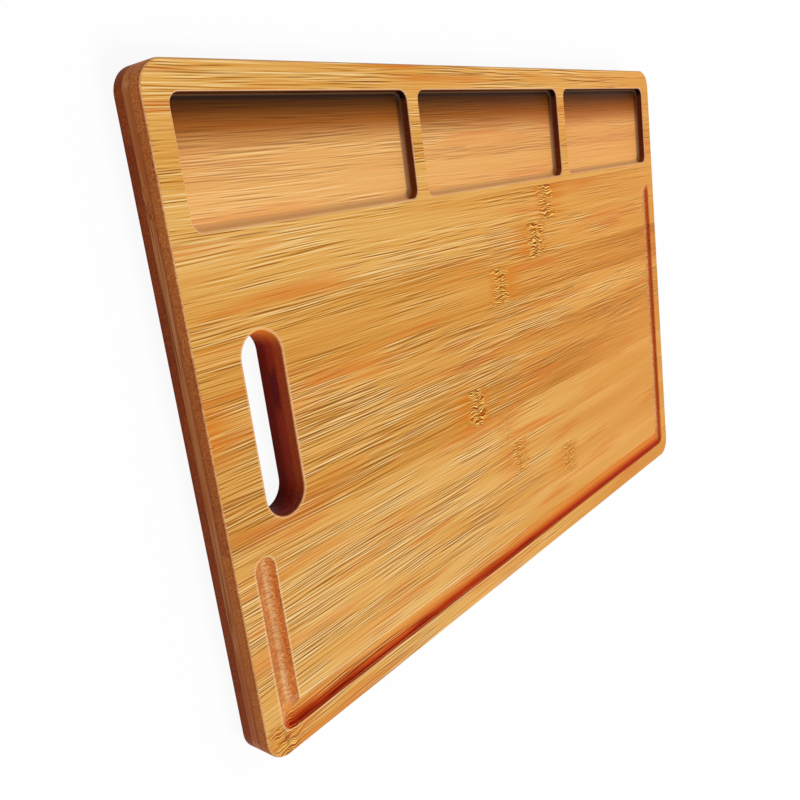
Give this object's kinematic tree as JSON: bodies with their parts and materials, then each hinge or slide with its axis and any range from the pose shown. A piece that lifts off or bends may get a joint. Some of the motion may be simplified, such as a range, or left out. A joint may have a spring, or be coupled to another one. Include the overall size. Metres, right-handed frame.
{
  "type": "cutting board",
  "caption": "Rectangular bamboo cutting board with a row of shallow food wells along one long edge, a hand slot near one end and a juice groove round the cutting area.",
  "frame": {"origin": "middle of the underside, the flat face the board rests on", "axes": "+X along the long edge away from the hand slot, +Y towards the wells, +Z out of the cutting face"},
  "size_m": [0.457, 0.305, 0.0178],
  "materials": {
    "face_bamboo": "oiled satin, end grain darker",
    "core_bamboo": "oiled satin long grain on the edges",
    "back_bamboo": "oiled satin, end grain darker"
  },
  "bodies": {
    "root": {"back_strip_01": "back_bamboo", "back_strip_02": "back_bamboo", "back_strip_03": "back_bamboo", "back_strip_04": "back_bamboo", "back_strip_05": "back_bamboo", "back_strip_06": "back_bamboo", "back_strip_07_left": "back_bamboo", "back_strip_07_right": "back_bamboo", "back_strip_08_left": "back_bamboo", "back_strip_08_right": "back_bamboo", "back_strip_09_left": "back_bamboo", "back_strip_09_right": "back_bamboo", "back_strip_10": "back_bamboo", "back_strip_11": "back_bamboo", "back_strip_12": "back_bamboo", "back_strip_13": "back_bamboo", "back_strip_14": "back_bamboo", "back_strip_15": "back_bamboo", "core_strip_01": "core_bamboo", "core_strip_02": "core_bamboo", "core_strip_03": "core_bamboo", "core_strip_04": "core_bamboo", "core_strip_05": "core_bamboo", "core_strip_06": "core_bamboo", "core_strip_07": "core_bamboo", "core_strip_08": "core_bamboo", "core_strip_09": "core_bamboo", "core_strip_10": "core_bamboo", "core_strip_11": "core_bamboo", "core_strip_12": "core_bamboo", "core_strip_13": "core_bamboo", "core_strip_14": "core_bamboo", "core_strip_15": "core_bamboo", "core_strip_16": "core_bamboo", "core_strip_17": "core_bamboo", "core_strip_18": "core_bamboo", "core_strip_19": "core_bamboo", "core_strip_20": "core_bamboo", "core_strip_21": "core_bamboo", "core_strip_22": "core_bamboo", "face_strip_01": "face_bamboo", "face_strip_02": "face_bamboo", "face_strip_03": "face_bamboo", "face_strip_04": "face_bamboo", "face_strip_05": "face_bamboo", "face_strip_06": "face_bamboo", "face_strip_07_left": "face_bamboo", "face_strip_07_right": "face_bamboo", "face_strip_08_left": "face_bamboo", "face_strip_08_right": "face_bamboo", "face_strip_09_left": "face_bamboo", "face_strip_09_right": "face_bamboo", "face_strip_10": "face_bamboo", "face_strip_11": "face_bamboo", "face_strip_12": "face_bamboo", "face_strip_13": "face_bamboo", "face_strip_14": "face_bamboo", "face_strip_15": "face_bamboo"}
  },
  "joints": []
}
